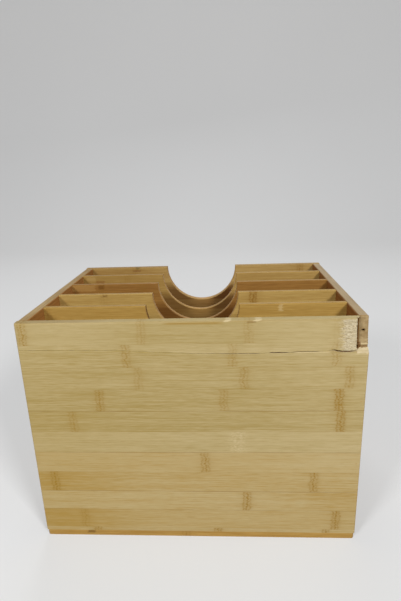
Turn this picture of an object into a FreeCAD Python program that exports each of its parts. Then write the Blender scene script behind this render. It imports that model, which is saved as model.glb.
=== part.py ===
"""Bamboo document shelf with five compartments, standing on its back board with its open side up.

The origin is on the floor, under the middle of the shelf. +X runs along the wide boards, +Y from the
front board to the rear board, +Z up. The front board is glued up from laths. A crack runs along it, and
the strip above the crack has lost its right end, so the end of the right side board shows there.
"""
import FreeCAD, Part
import math
import os
import Sketcher

doc = FreeCAD.newDocument("document_shelf")
sheet = doc.addObject("Spreadsheet::Sheet", "Sizes")

# Driving sizes in millimetres
driving_sizes = {
    # the whole shelf, and the boards it is made of
    "overall_width": 330,
    "overall_depth": 240,
    "overall_height": 245.5,
    "panel_thickness": 9.5,
    "side_thickness": 9.5,
    "divider_thickness": 6,
    "base_thickness": 7,
    # how far the base board stands back from the boards above it, and its rounded corners
    "base_inset": 0.5,
    "base_corner_radius": 3,
    # the outer arrises are rounded, the others have a small chamfer
    "outer_easing": 1.5,
    "inner_chamfer": 0.8,
    # the half-round finger cut-out
    "cutout_radius": 48,
    # the stopped housings that hold the dividers
    "housing_depth": 3,
    "housing_stop": 12,
    # the top and bottom laths of the front board, which were cut to width: the others share the rest
    "top_lath_width": 22.5,
    "bottom_lath_width": 4.5,
    # the damage: length lost at the right end, and the widest opening of the crack
    "broken_length": 12,
    "crack_opening": 1.2,
    # the brads, of flat wire with a wider head, and the filler over their heads
    "brad_width": 1.3,
    "brad_thickness": 1,
    "brad_length": 30,
    "base_brad_length": 25,
    "brad_point_length": 1.5,
    "brad_head_width": 2,
    "brad_head_height": 0.8,
    "filler_depth": 1,
    # the highest brad below the top edge, and all brads in the side boards inside their outer faces
    "top_brad_drop": 13.7,
    "side_brad_inset": 4,
}
for row, (alias, value) in enumerate(driving_sizes.items(), 1):
    sheet.set("A%d" % row, alias)
    sheet.set("B%d" % row, str(value))
    sheet.setAlias("B%d" % row, alias)
doc.recompute()

# Counts
divider_count = 4
full_lath_count = 9
brad_count = 4
base_row_count = 5
base_side_row_count = 2

# Two places nearer than this share of the overall width are the same
same_place_share = 1e-6

# The crack, from the left end of the strip to its broken end: how far along the strip, how far below the
# top of the lath that it runs through, and how far it gapes
crack_run_shares = (0, 0.094, 0.189, 0.308, 0.377, 0.44, 0.503, 0.566, 0.651, 0.73, 0.761, 0.833, 0.896,
                    0.943, 0.978, 1)
crack_drop_shares = (0.19, 0.21, 0.245, 0.255, 0.3, 0.35, 0.405, 0.42, 0.425, 0.445, 0.415, 0.395, 0.38,
                     0.34, 0.385, 0.36)
crack_gape_shares = (0, 0, 0, 0, 0, 0, 0, 0, 0, 0.25, 0.3, 0.3, 0.3, 0.75, 1, 0.7)

# The torn ledge beside the broken end, from the front face of the board to its rear face: how far in, and
# how far up the lath
ledge_depth_shares = (0, 0.37, 0.44, 0.79, 0.84, 1)
ledge_height_shares = (0.51, 0.647, 0.621, 0.689, 0.749, 0.774)

# Ends of the rows of brads under the base board, from the middle: along the wide boards, along the sides
base_row_end_share = 0.4
base_side_row_end_share = 0.2

# Sizes worked out from the driving ones, as expressions over the sheet
WIDTH = "Sizes.overall_width"
DEPTH = "Sizes.overall_depth"
HEIGHT = "Sizes.overall_height"
PANEL = "Sizes.panel_thickness"
SIDE = "Sizes.side_thickness"
DIVIDER = "Sizes.divider_thickness"
BASE = "Sizes.base_thickness"
BOTTOM_LATH = "Sizes.bottom_lath_width"
HALF_WIDTH = "(%s / 2)" % WIDTH
HALF_DEPTH = "(%s / 2)" % DEPTH
HALF_PANEL = "(%s / 2)" % PANEL
BOARD_HEIGHT = "(%s - %s)" % (HEIGHT, BASE)
SIDE_LENGTH = "(%s - 2 * %s)" % (DEPTH, PANEL)
HALF_INNER_WIDTH = "(%s - %s)" % (HALF_WIDTH, SIDE)
HOUSING_TOP = "(%s - Sizes.housing_stop)" % BOARD_HEIGHT
CLEAR = "((%s - %d * %s) / %d)" % (SIDE_LENGTH, divider_count, DIVIDER, divider_count + 1)
PITCH = "(%s + %s)" % (CLEAR, DIVIDER)
TOP_LATH_BOTTOM = "(%s - Sizes.top_lath_width)" % HEIGHT
LATH = "((%s - %s - %s) / %d)" % (TOP_LATH_BOTTOM, BOTTOM_LATH, BASE, full_lath_count)
STRIP_LENGTH = "(%s - Sizes.broken_length)" % WIDTH
BROKEN_END = "(%s - Sizes.broken_length)" % HALF_WIDTH
CUTOUT_RADIUS = "Sizes.cutout_radius"
HALF_WIRE = "(Sizes.brad_thickness / 2)"
WIRE_WIDTH = "Sizes.brad_width"
HEAD_WIDTH = "Sizes.brad_head_width"
HEAD_HEIGHT = "Sizes.brad_head_height"
LOWEST_BRAD = "(%s + %s + %s / 2)" % (BASE, BOTTOM_LATH, LATH)
BRAD_RISE = "((%s - Sizes.top_brad_drop - %s) / %d)" % (HEIGHT, LOWEST_BRAD, brad_count - 1)
SIDE_BRAD_X = "(%s - Sizes.side_brad_inset)" % HALF_WIDTH
BASE_ROW_END = "(%g * %s)" % (base_row_end_share, WIDTH)
BASE_ROW_STEP = "(2 * %s / %d)" % (BASE_ROW_END, base_row_count - 1)
BASE_SIDE_ROW_END = "(%g * %s)" % (base_side_row_end_share, DEPTH)
BASE_SIDE_ROW_STEP = "(2 * %s / %d)" % (BASE_SIDE_ROW_END, base_side_row_count - 1)

brad_heights = ["(%s + %d * %s)" % (LOWEST_BRAD, index, BRAD_RISE) for index in range(brad_count)]
base_row = ["(%d * %s - %s)" % (index, BASE_ROW_STEP, BASE_ROW_END) for index in range(base_row_count)]
base_side_row = []
for index in range(base_side_row_count):
    base_side_row.append("(%d * %s - %s)" % (index, BASE_SIDE_ROW_STEP, BASE_SIDE_ROW_END))


def number(expression):
    """What an expression over the sheet comes to, in millimetres."""
    return float(sheet.evalExpression(expression))


def same(first, second):
    """Whether two places are the same."""
    return abs(first - second) < same_place_share * number(WIDTH)


def at_x(box, x):
    return same(box.XMin, x) and same(box.XMax, x)


def at_y(box, y):
    return same(box.YMin, y) and same(box.YMax, y)


def at_z(box, z):
    return same(box.ZMin, z) and same(box.ZMax, z)


def origin_feature(body, role):
    """One of a body's own origin planes or axes."""
    found = [feature for feature in body.Origin.OriginFeatures if feature.Role == role]
    return found[0]


def new_body(name, x, y, z):
    """A body of the assembly, with its place bound to the sheet."""
    body = doc.addObject("PartDesign::Body", name)
    body.Label = name
    body.setExpression("Placement.Base.x", x)
    body.setExpression("Placement.Base.y", y)
    body.setExpression("Placement.Base.z", z)
    return body


def new_sketch(body, name, plane, offset="0"):
    """A sketch on one of the body's own origin planes, moved along the plane's normal by offset."""
    sketch = body.newObject("Sketcher::SketchObject", body.Name + "_" + name)
    sketch.AttachmentSupport = (origin_feature(body, plane), [""])
    sketch.MapMode = "FlatFace"
    sketch.setExpression("AttachmentOffset.Base.z", offset)
    return sketch


def bind(sketch, size, *constraint):
    """Adds a constraint with a size that is bound to the sheet."""
    index = sketch.addConstraint(Sketcher.Constraint(*constraint, number(size)))
    sketch.setExpression("Constraints[%d]" % index, size)


def pin_point(sketch, geometry, position, x, y):
    """Ties one point of a sketch to its place, measured from the sketch's origin."""
    bind(sketch, x, "DistanceX", -1, 1, geometry, position)
    bind(sketch, y, "DistanceY", -1, 1, geometry, position)


def draw_path(sketch, points):
    """Straight lines from point to point, each point a pair of sizes. Returns the first and last line."""
    first = sketch.GeometryCount
    last = first + len(points) - 2
    corners = [FreeCAD.Vector(number(x), number(y), 0) for x, y in points]
    for start, end in zip(corners, corners[1:]):
        sketch.addGeometry(Part.LineSegment(start, end), False)
    for line in range(first, last):
        sketch.addConstraint(Sketcher.Constraint("Coincident", line, 2, line + 1, 1))
    for line in range(first, last + 1):
        pin_point(sketch, line, 1, *points[line - first])
    return first, last


def draw_outline(sketch, points):
    """A closed outline of straight lines."""
    first, last = draw_path(sketch, points + points[:1])
    sketch.addConstraint(Sketcher.Constraint("Coincident", last, 2, first, 1))


def draw_rectangle(sketch, left, low, right, high):
    draw_outline(sketch, [(left, low), (right, low), (right, high), (left, high)])


def draw_wire_sections(sketch, centres, width):
    """Sections of brads, of the wire's thickness and the given width, about points given as pairs."""
    for x, y in centres:
        left, right = ("%s %s %s / 2" % (x, sign, width) for sign in "-+")
        low, high = ("%s %s %s" % (y, sign, HALF_WIRE) for sign in "-+")
        draw_rectangle(sketch, left, low, right, high)


def pad(body, sketch, length, backwards=False):
    """Extrudes a sketch along its normal, or against it."""
    feature = body.newObject("PartDesign::Pad", body.Name + "_pad")
    feature.Profile = sketch
    feature.setExpression("Length", length)
    feature.Reversed = backwards
    doc.recompute()
    return feature


def pocket(body, sketch, depth, along_normal=False):
    """Cuts a sketch into a body against its normal, or along it, and makes sure that it cut something."""
    before = body.Shape.Volume
    feature = body.newObject("PartDesign::Pocket", sketch.Name + "_pocket")
    feature.Profile = sketch
    feature.setExpression("Length", depth)
    feature.Reversed = along_normal
    doc.recompute()
    if not feature.Shape.Volume < before:
        raise RuntimeError(feature.Name + " cuts nothing")
    return feature


def ease(body, kind, size_name, size, wanted):
    """Rounds or chamfers each edge of a body whose bounding box is wanted."""
    base = body.Tip
    edges = []
    for index, edge in enumerate(base.Shape.Edges, 1):
        if wanted(edge.BoundBox):
            edges.append("Edge%d" % index)
    feature = body.newObject("PartDesign::" + kind, "%s_%s" % (body.Name, kind.lower()))
    feature.Base = (base, edges)
    feature.setExpression(size_name, size)
    doc.recompute()


def fillet(body, radius, wanted):
    ease(body, "Fillet", "Radius", radius, wanted)


def chamfer(body, wanted):
    ease(body, "Chamfer", "Size", "Sizes.inner_chamfer", wanted)


def repeat(body, feature, axis, step, count):
    """Repeats a feature of a body along one of its axes."""
    pattern = body.newObject("PartDesign::LinearPattern", feature.Name + "_row")
    pattern.Originals = [feature]
    pattern.Direction = (origin_feature(body, axis), [""])
    pattern.setExpression("Length", "%d * %s" % (count - 1, step))
    pattern.Occurrences = count
    body.Tip = pattern
    doc.recompute()


def drill_front_brads(body, bottom, height, sides):
    """Stepped holes for the brads that cross a lath of the front board, at the given sides."""
    low = number(bottom) + number(HALF_WIRE)
    high = number(bottom) + number(height) - number(HALF_WIRE)
    centres = []
    for level in brad_heights:
        if low < number(level) < high:
            for side in sides:
                centres.append(("%d * %s" % (side, SIDE_BRAD_X), "%s - %s" % (level, bottom)))
    if centres:
        heads = new_sketch(body, "brad_heads", "XZ_Plane")
        draw_wire_sections(heads, centres, HEAD_WIDTH)
        pocket(body, heads, "Sizes.filler_depth + " + HEAD_HEIGHT)
        shanks = new_sketch(body, "brad_shanks", "XZ_Plane")
        draw_wire_sections(shanks, centres, WIRE_WIDTH)
        pocket(body, shanks, PANEL)


def drill_base_brads(body, bottom, height, centres):
    """Holes in a piece above the base board, as deep as the brads through the base board reach."""
    reach = number("Sizes.base_brad_length") - number(bottom)
    if reach > 0:
        depth = height
        if reach < number(height):
            depth = "Sizes.base_brad_length - " + bottom
        shanks = new_sketch(body, "base_brad_shanks", "XY_Plane")
        draw_wire_sections(shanks, centres, WIRE_WIDTH)
        pocket(body, shanks, depth, along_normal=True)


# The front board. Each lath's own origin is at the middle of its lower front edge.
front_row = [(place, HALF_PANEL) for place in base_row]


def new_lath(name, bottom):
    return new_body("front_lath_" + name, "0", "-" + HALF_DEPTH, bottom)


def ease_lath(body, height, top):
    """Rounds the front arrises at the ends of the board and, on the top lath, those along its top."""
    half_width = number(HALF_WIDTH)
    crest = number(height)

    def outer(box):
        end = at_x(box, -half_width) or at_x(box, half_width)
        return at_y(box, 0) and (end or (top and at_z(box, crest)))

    fillet(body, "Sizes.outer_easing", outer)
    if top:
        rear = number(PANEL)
        chamfer(body, lambda box: at_z(box, crest) and at_y(box, rear))


def whole_lath(name, bottom, height, right_end, sides, top=False):
    """A lath that no crack runs through, with holes for its brads at the given sides."""
    body = new_lath(name, bottom)
    profile = new_sketch(body, "profile", "XY_Plane")
    draw_rectangle(profile, "-" + HALF_WIDTH, "0", right_end, PANEL)
    pad(body, profile, height)
    ease_lath(body, height, top)
    drill_front_brads(body, bottom, height, sides)
    drill_base_brads(body, bottom, height, front_row)


def crack_line(gaping):
    """The crack from left to right, over the bottom of its lath: its upper lip, or its gaping lower one."""
    points = []
    for run, drop, gape in zip(crack_run_shares, crack_drop_shares, crack_gape_shares):
        height = "%g * %s" % (1 - drop, LATH)
        if gaping:
            height += " - %g * Sizes.crack_opening" % gape
        points.append(("%g * %s - %s" % (run, STRIP_LENGTH, HALF_WIDTH), height))
    return points


def cracked_lath_upper(bottom):
    """The part of the second lath above the crack, still glued to the top lath."""
    body = new_lath("02_upper", bottom)
    profile = new_sketch(body, "profile", "XZ_Plane")
    draw_outline(profile, crack_line(gaping=False) + [(BROKEN_END, LATH), ("-" + HALF_WIDTH, LATH)])
    pad(body, profile, PANEL, backwards=True)
    ease_lath(body, LATH, top=False)


def cracked_lath_lower(bottom):
    """The part of the second lath below the crack, with a torn ledge where the strip above broke off."""
    body = new_lath("02_lower", bottom)
    ledge_top = "%g * %s" % (max(ledge_height_shares), LATH)
    lower_lip = crack_line(gaping=True)
    lower_lip.reverse()
    profile = new_sketch(body, "profile", "XZ_Plane")
    corners = [("-" + HALF_WIDTH, "0"), (HALF_WIDTH, "0"), (HALF_WIDTH, ledge_top), (BROKEN_END, ledge_top)]
    draw_outline(profile, corners + lower_lip)
    pad(body, profile, PANEL, backwards=True)
    ease_lath(body, LATH, top=False)

    # the ledge's uneven surface, cut from the broken end of the strip to the end of the board
    surface = []
    for depth, height in zip(ledge_depth_shares, ledge_height_shares):
        surface.append(("%g * %s" % (depth, PANEL), "%g * %s" % (height, LATH)))
    clear_of_lath = "Sizes.outer_easing"
    above = "%s + %s" % (ledge_top, clear_of_lath)
    front_x = "-" + clear_of_lath
    torn = new_sketch(body, "torn_ledge", "YZ_Plane", BROKEN_END)
    draw_outline(torn, surface + [(PANEL, above), (front_x, above), (front_x, surface[0][1])])
    pocket(body, torn, "Sizes.broken_length", along_normal=True)
    drill_base_brads(body, bottom, LATH, front_row)


whole_lath("01", TOP_LATH_BOTTOM, "Sizes.top_lath_width", BROKEN_END, [-1], top=True)
cracked_lath_upper("(%s - %s)" % (TOP_LATH_BOTTOM, LATH))
cracked_lath_lower("(%s - %s)" % (TOP_LATH_BOTTOM, LATH))

for index in range(2, full_lath_count + 1):
    bottom = "(%s - %d * %s)" % (TOP_LATH_BOTTOM, index, LATH)
    whole_lath("%02d" % (index + 1), bottom, LATH, HALF_WIDTH, [-1, 1])
whole_lath("%02d" % (full_lath_count + 2), BASE, BOTTOM_LATH, HALF_WIDTH, [-1, 1])


def side_board(name, side):
    """A side board between the front and rear boards. Its own origin is at its outer lower front corner."""
    body = new_body(name, "%d * %s" % (side, HALF_WIDTH), "%s - %s" % (PANEL, HALF_DEPTH), BASE)
    profile = new_sketch(body, "profile", "YZ_Plane")
    draw_rectangle(profile, "0", "0", SIDE_LENGTH, BOARD_HEIGHT)
    pad(body, profile, SIDE, backwards=side > 0)
    crest = number(BOARD_HEIGHT)
    inner_face = "%d * %s" % (-side, SIDE)
    inner_x = number(inner_face)
    fillet(body, "Sizes.outer_easing", lambda box: at_z(box, crest) and at_x(box, 0))
    chamfer(body, lambda box: at_z(box, crest) and at_x(box, inner_x))

    # the housings run up from the lower edge and stop short of the top
    housing = new_sketch(body, "housing", "YZ_Plane", inner_face)
    draw_rectangle(housing, CLEAR, "0", PITCH, HOUSING_TOP)
    first_housing = pocket(body, housing, "Sizes.housing_depth", along_normal=side > 0)
    repeat(body, first_housing, "Y_Axis", PITCH, divider_count)

    # holes for the brads in the front end, the rear end and the lower edge
    inset = "%d * Sizes.side_brad_inset" % -side
    centres = [(inset, "%s - %s" % (level, BASE)) for level in brad_heights]
    front_shanks = new_sketch(body, "front_brad_shanks", "XZ_Plane")
    draw_wire_sections(front_shanks, centres, WIRE_WIDTH)
    pocket(body, front_shanks, "Sizes.filler_depth + Sizes.brad_length - " + PANEL)
    rear_shanks = new_sketch(body, "rear_brad_shanks", "XZ_Plane", "-" + SIDE_LENGTH)
    draw_wire_sections(rear_shanks, centres, WIRE_WIDTH)
    pocket(body, rear_shanks, "Sizes.brad_length - " + PANEL, along_normal=True)
    lower_centres = [(inset, "%s + %s / 2" % (place, SIDE_LENGTH)) for place in base_side_row]
    drill_base_brads(body, BASE, BOARD_HEIGHT, lower_centres)


side_board("side_board_left", -1)
side_board("side_board_right", 1)


def draw_board_with_cutout(sketch, right_side):
    """The outline of a board that is alike at both ends, its top edge broken by the finger cut-out.

    right_side is the outline from the lower right corner up to the right end of the top edge.
    """
    left_side = [("-" + x, y) for x, y in reversed(right_side)]
    points = [("-" + CUTOUT_RADIUS, BOARD_HEIGHT)] + left_side + right_side + [(CUTOUT_RADIUS, BOARD_HEIGHT)]
    first, last = draw_path(sketch, points)
    centre = FreeCAD.Vector(0, number(BOARD_HEIGHT), 0)
    circle = Part.Circle(centre, FreeCAD.Vector(0, 0, 1), number(CUTOUT_RADIUS))
    arc = sketch.addGeometry(Part.ArcOfCircle(circle, math.pi, 2 * math.pi), False)
    sketch.addConstraint(Sketcher.Constraint("Coincident", arc, 1, first, 1))
    sketch.addConstraint(Sketcher.Constraint("Coincident", arc, 2, last, 2))
    pin_point(sketch, last, 2, *points[-1])
    bind(sketch, BOARD_HEIGHT, "DistanceY", -1, 1, arc, 3)


def on_open_edge(box, half_width):
    """Whether an edge of a board with a cut-out belongs to its top edge or to the cut-out."""
    crest = number(BOARD_HEIGHT)
    lowest = crest - number(CUTOUT_RADIUS)
    high = box.ZMin > lowest or same(box.ZMin, lowest)
    between_ends = box.XMin > -half_width and box.XMax < half_width
    return at_z(box, crest) or (high and between_ends and not same(box.XMin, box.XMax))


def divider(name, y):
    """A divider with a tongue at each end. Its own origin is at the middle of its lower front edge."""
    body = new_body(name, "0", y, BASE)
    tongue_end = "(%s + Sizes.housing_depth)" % HALF_INNER_WIDTH
    right_side = [(tongue_end, "0"), (tongue_end, HOUSING_TOP), (HALF_INNER_WIDTH, HOUSING_TOP),
                  (HALF_INNER_WIDTH, BOARD_HEIGHT)]
    profile = new_sketch(body, "profile", "XZ_Plane")
    draw_board_with_cutout(profile, right_side)
    pad(body, profile, DIVIDER, backwards=True)
    half_width = number(HALF_INNER_WIDTH)
    rear = number(DIVIDER)
    chamfer(body, lambda box: (at_y(box, 0) or at_y(box, rear)) and on_open_edge(box, half_width))


for index in range(divider_count):
    divider("divider_%d" % (index + 1), "%s - %s + %s + %d * %s" % (PANEL, HALF_DEPTH, CLEAR, index, PITCH))


def rear_board():
    """The rear board, over the ends of the side boards. Its own origin is at its inner face's lower edge."""
    body = new_body("rear_board", "0", "%s - %s" % (HALF_DEPTH, PANEL), BASE)
    profile = new_sketch(body, "profile", "XZ_Plane")
    draw_board_with_cutout(profile, [(HALF_WIDTH, "0"), (HALF_WIDTH, BOARD_HEIGHT)])
    pad(body, profile, PANEL, backwards=True)
    half_width = number(HALF_WIDTH)
    rear = number(PANEL)

    def outer(box):
        end = at_x(box, half_width) or at_x(box, -half_width)
        return at_y(box, rear) and (end or on_open_edge(box, half_width))

    fillet(body, "Sizes.outer_easing", outer)
    chamfer(body, lambda box: at_y(box, 0) and on_open_edge(box, half_width))

    # stepped holes for the brads, whose heads are flush with the outer face
    centres = []
    for level in brad_heights:
        for side in (-1, 1):
            centres.append(("%d * %s" % (side, SIDE_BRAD_X), "%s - %s" % (level, BASE)))
    heads = new_sketch(body, "brad_heads", "XZ_Plane", "-" + PANEL)
    draw_wire_sections(heads, centres, HEAD_WIDTH)
    pocket(body, heads, HEAD_HEIGHT, along_normal=True)
    shanks = new_sketch(body, "brad_shanks", "XZ_Plane", "-" + PANEL)
    draw_wire_sections(shanks, centres, WIRE_WIDTH)
    pocket(body, shanks, PANEL, along_normal=True)
    drill_base_brads(body, BASE, BOARD_HEIGHT, [(place, HALF_PANEL) for place in base_row])


rear_board()

# Lines of brads under the base board
FRONT_ROW_Y = "(%s - %s)" % (HALF_PANEL, HALF_DEPTH)
REAR_ROW_Y = "(%s - %s)" % (HALF_DEPTH, HALF_PANEL)
LEFT_ROW_X = "(-%s)" % SIDE_BRAD_X


def base_board():
    """The thin board under the others, with rounded corners and holes for the brads."""
    body = new_body("base_board", "0", "0", "0")
    half_x = "(%s - Sizes.base_inset)" % HALF_WIDTH
    half_y = "(%s - Sizes.base_inset)" % HALF_DEPTH
    profile = new_sketch(body, "profile", "XY_Plane")
    draw_rectangle(profile, "-" + half_x, "-" + half_y, half_x, half_y)
    pad(body, profile, BASE)
    fillet(body, "Sizes.base_corner_radius",
           lambda box: same(box.XMin, box.XMax) and same(box.YMin, box.YMax))
    centres = [(place, y) for y in (FRONT_ROW_Y, REAR_ROW_Y) for place in base_row]
    centres += [(x, place) for x in (LEFT_ROW_X, SIDE_BRAD_X) for place in base_side_row]
    heads = new_sketch(body, "brad_heads", "XY_Plane")
    draw_wire_sections(heads, centres, HEAD_WIDTH)
    pocket(body, heads, HEAD_HEIGHT, along_normal=True)
    shanks = new_sketch(body, "brad_shanks", "XY_Plane")
    draw_wire_sections(shanks, centres, WIRE_WIDTH)
    pocket(body, shanks, BASE, along_normal=True)


base_board()


def brads(name, start, plane, inwards, length, row_axis, step, count):
    """A row of equal brads with chisel points, the first with the middle of its head's face at start.

    They point along the upright axis of the sketch plane where inwards is 1, and against it where it is -1.
    """
    body = new_body(name, *start)
    half_head = HEAD_WIDTH + " / 2"
    half_shank = WIRE_WIDTH + " / 2"
    under_head = "%d * %s" % (inwards, HEAD_HEIGHT)
    shank_end = "%d * (%s - Sizes.brad_point_length)" % (inwards, length)
    tip = "%d * %s" % (inwards, length)
    right_side = [(half_head, "0"), (half_head, under_head), (half_shank, under_head),
                  (half_shank, shank_end)]
    left_side = [("-" + x, y) for x, y in reversed(right_side)]
    outline = new_sketch(body, "outline", plane, "-" + HALF_WIRE)
    draw_outline(outline, right_side + [("0", tip)] + left_side)
    wire = pad(body, outline, "Sizes.brad_thickness")
    repeat(body, wire, row_axis, step, count)


def fillers(name, x, count):
    """The filler over a row of brad heads in the front board, from the lowest head up."""
    body = new_body(name, x, "-" + HALF_DEPTH, LOWEST_BRAD)
    outline = new_sketch(body, "outline", "XZ_Plane")
    draw_wire_sections(outline, [("0", "0")], HEAD_WIDTH)
    plug = pad(body, outline, "Sizes.filler_depth", backwards=True)
    repeat(body, plug, "Z_Axis", BRAD_RISE, count)


# The topmost brad on the front right went with the broken end, so its hole in the side board is empty
for side_name, x, front_count in (("left", LEFT_ROW_X, brad_count), ("right", SIDE_BRAD_X, brad_count - 1)):
    front_head = (x, "Sizes.filler_depth - " + HALF_DEPTH, LOWEST_BRAD)
    brads("front_brads_" + side_name, front_head, "XY_Plane", 1, "Sizes.brad_length",
          "Z_Axis", BRAD_RISE, front_count)
    fillers("front_fillers_" + side_name, x, front_count)
    brads("rear_brads_" + side_name, (x, HALF_DEPTH, LOWEST_BRAD), "XY_Plane", -1, "Sizes.brad_length",
          "Z_Axis", BRAD_RISE, brad_count)
    brads("base_brads_" + side_name, (x, base_side_row[0], "0"), "XZ_Plane", 1, "Sizes.base_brad_length",
          "Y_Axis", BASE_SIDE_ROW_STEP, base_side_row_count)
for side_name, y in (("front", FRONT_ROW_Y), ("rear", REAR_ROW_Y)):
    brads("base_brads_" + side_name, (base_row[0], y, "0"), "XZ_Plane", 1, "Sizes.base_brad_length",
          "X_Axis", BASE_ROW_STEP, base_row_count)

# Check everything before anything is written
doc.recompute()
for feature in doc.Objects:
    if "Invalid" in feature.State or "Error" in feature.State:
        raise RuntimeError("%s failed: %s" % (feature.Name, feature.State))
bodies = [feature for feature in doc.Objects if feature.TypeId == "PartDesign::Body"]
for body in bodies:
    if body.Shape.isNull() or not body.Shape.isValid():
        raise RuntimeError(body.Label + " has no valid shape")

os.makedirs("parts", exist_ok=True)
for body in bodies:
    body.Shape.exportStep("parts/%s.step" % body.Label)
    print(body.Label, len(body.Shape.Solids), "solids,", round(body.Shape.Volume), "cubic mm")
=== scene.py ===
"""Looks of the bamboo document shelf: wood, glue lines, node marks, the crack and the broken end."""

import math

import bmesh
import bpy
from mathutils import Matrix, Vector, noise


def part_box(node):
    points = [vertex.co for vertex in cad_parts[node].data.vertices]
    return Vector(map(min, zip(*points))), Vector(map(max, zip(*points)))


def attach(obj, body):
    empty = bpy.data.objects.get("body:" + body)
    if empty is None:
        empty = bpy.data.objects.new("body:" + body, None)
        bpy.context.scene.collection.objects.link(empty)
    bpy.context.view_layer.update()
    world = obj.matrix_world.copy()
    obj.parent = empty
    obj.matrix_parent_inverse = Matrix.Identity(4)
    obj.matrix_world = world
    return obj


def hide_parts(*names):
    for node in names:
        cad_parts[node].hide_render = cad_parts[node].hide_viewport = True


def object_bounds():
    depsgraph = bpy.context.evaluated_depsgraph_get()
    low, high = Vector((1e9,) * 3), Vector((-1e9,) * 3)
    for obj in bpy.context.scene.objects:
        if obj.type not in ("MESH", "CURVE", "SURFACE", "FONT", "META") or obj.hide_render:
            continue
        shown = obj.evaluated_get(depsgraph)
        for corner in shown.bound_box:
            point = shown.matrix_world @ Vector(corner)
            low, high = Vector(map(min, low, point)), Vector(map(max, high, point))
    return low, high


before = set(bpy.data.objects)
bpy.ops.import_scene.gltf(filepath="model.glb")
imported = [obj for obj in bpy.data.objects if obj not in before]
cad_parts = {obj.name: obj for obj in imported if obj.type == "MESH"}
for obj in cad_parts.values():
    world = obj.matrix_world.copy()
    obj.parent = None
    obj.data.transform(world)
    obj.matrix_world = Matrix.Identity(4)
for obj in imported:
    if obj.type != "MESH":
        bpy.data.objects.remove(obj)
cad_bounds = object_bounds()

MM = 0.001
X, Y, Z = 0, 1, 2

# The shelf's own sizes in millimetres, read from the frame
shelf_low, shelf_high = (Vector(corner) / MM for corner in cad_bounds)
FRONT = shelf_low.y
REAR = shelf_high.y
TOP = shelf_high.z
HALF_WIDTH = shelf_high.x


def node_box(name):
    """Lowest and highest corner of a node, in millimetres."""
    low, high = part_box(name)
    return low / MM, high / MM


def rgb(red, green, blue):
    """A colour for a shader, from its 0 to 255 values as seen on a screen."""
    linear = []
    for value in (red, green, blue):
        share = value / 255
        linear.append(share / 12.92 if share <= 0.04045 else ((share + 0.055) / 1.055) ** 2.4)
    return (*linear, 1.0)


class Tree:
    """The node tree of a material or a world, with short calls that take sockets or plain values."""

    def __init__(self, owner, shader="Principled BSDF"):
        owner.use_nodes = True
        self.owner = owner
        self.nodes = owner.node_tree.nodes
        self.links = owner.node_tree.links
        self.surface = self.nodes[shader]

    def put(self, socket, value):
        if isinstance(value, bpy.types.NodeSocket):
            self.links.new(value, socket)
        else:
            socket.default_value = value

    def feed(self, node, inputs):
        """Gives a node's inputs their values, each input by its name or number."""
        for name, value in inputs.items():
            self.put(node.inputs[name], value)

    def add(self, kind, **settings):
        made = self.nodes.new("ShaderNode" + kind)
        for name, value in settings.items():
            setattr(made, name, value)
        return made

    def math(self, operation, *values):
        made = self.add("Math", operation=operation)
        self.feed(made, dict(enumerate(values)))
        return made.outputs[0]

    def plus(self, first, second):
        return self.math("ADD", first, second)

    def minus(self, first, second):
        return self.math("SUBTRACT", first, second)

    def times(self, first, *others):
        for other in others:
            first = self.math("MULTIPLY", first, other)
        return first

    def size_of(self, value):
        return self.math("ABSOLUTE", value)

    def step(self, value, start, end, low=0.0, high=1.0):
        """A smooth change from low, where value is start, to high, where it is end."""
        made = self.add("MapRange", interpolation_type="SMOOTHSTEP")
        self.feed(made, {"Value": value, "From Min": start, "From Max": end, "To Min": low, "To Max": high})
        return made.outputs[0]

    def near(self, value, centre, half, soft):
        """1 where the value lies within half of the centre, fading to 0 over soft."""
        return self.step(self.size_of(self.minus(value, centre)), half + soft, half)

    def sway(self, value, ragged, amount):
        """A value shifted by noise, at most by half of the amount to either side."""
        return self.plus(value, self.times(self.minus(ragged, 0.5), amount))

    def point(self, x, y, z):
        made = self.add("CombineXYZ")
        self.feed(made, {0: x, 1: y, 2: z})
        return made.outputs[0]

    def noise(self, point, detail=2.0, scale=1.0):
        made = self.add("TexNoise")
        self.feed(made, {"Vector": point, "Scale": scale, "Detail": detail, "Roughness": 0.5})
        return made.outputs["Fac"]

    def cells(self, point, scale=1.0):
        """How far a point lies from the nearest of many scattered dots."""
        made = self.add("TexVoronoi", feature="F1")
        self.feed(made, {"Vector": point, "Scale": scale})
        return made.outputs["Distance"]

    def mix(self, factor, first, second):
        """A colour between two. The numbers are the inputs and the output of the node's colour form."""
        made = self.add("Mix", data_type="RGBA")
        self.feed(made, {0: factor, 6: first, 7: second})
        return made.outputs[2]


# In what follows, a range is what Tree.step takes: where a change starts and ends, and the values there. A
# band is what Tree.near takes: its middle, where it is given, its half width, and its soft edge's width.

# Node marks, in millimetres: the sizes of the noise that bends a mark, frays its edge and wobbles its lines,
# with how far each of these goes last, and the length and width of the dashes that it is made of
MARK_BEND = (9, 4.0)
MARK_FRAY = (1.1, 3, 7.0)
MARK_WOBBLE = (2.4, 6.0)
MARK_DASHES = (3.0, 0.8)
MARK_BAND_RANGE = (7.0, 2.0)
MARK_BAND_DASHES = (0.36, 0.62, 0.08, 0.27)
MARK_HALO = (16.0, 2.0, 0.0, 0.1)
MARK_VARIATION = 0.37
MOST_MARK = 0.85

# The lines of a mark, each with its distance from the mark's middle and its strength, and the rows of dots
MARK_LINES = ((-3.4, 0.34), (0.0, 0.6), (3.2, 0.28))
LINE_BAND = (0.3, 0.9)
LINE_DASHES = (0.4, 0.58, 0.3, 1.0)
DOT_PITCH = 3.2
DOT_RANGE = (0.2, 0.08)
DOT_BAND = (0.0, 1.4, 1.0)

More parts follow.
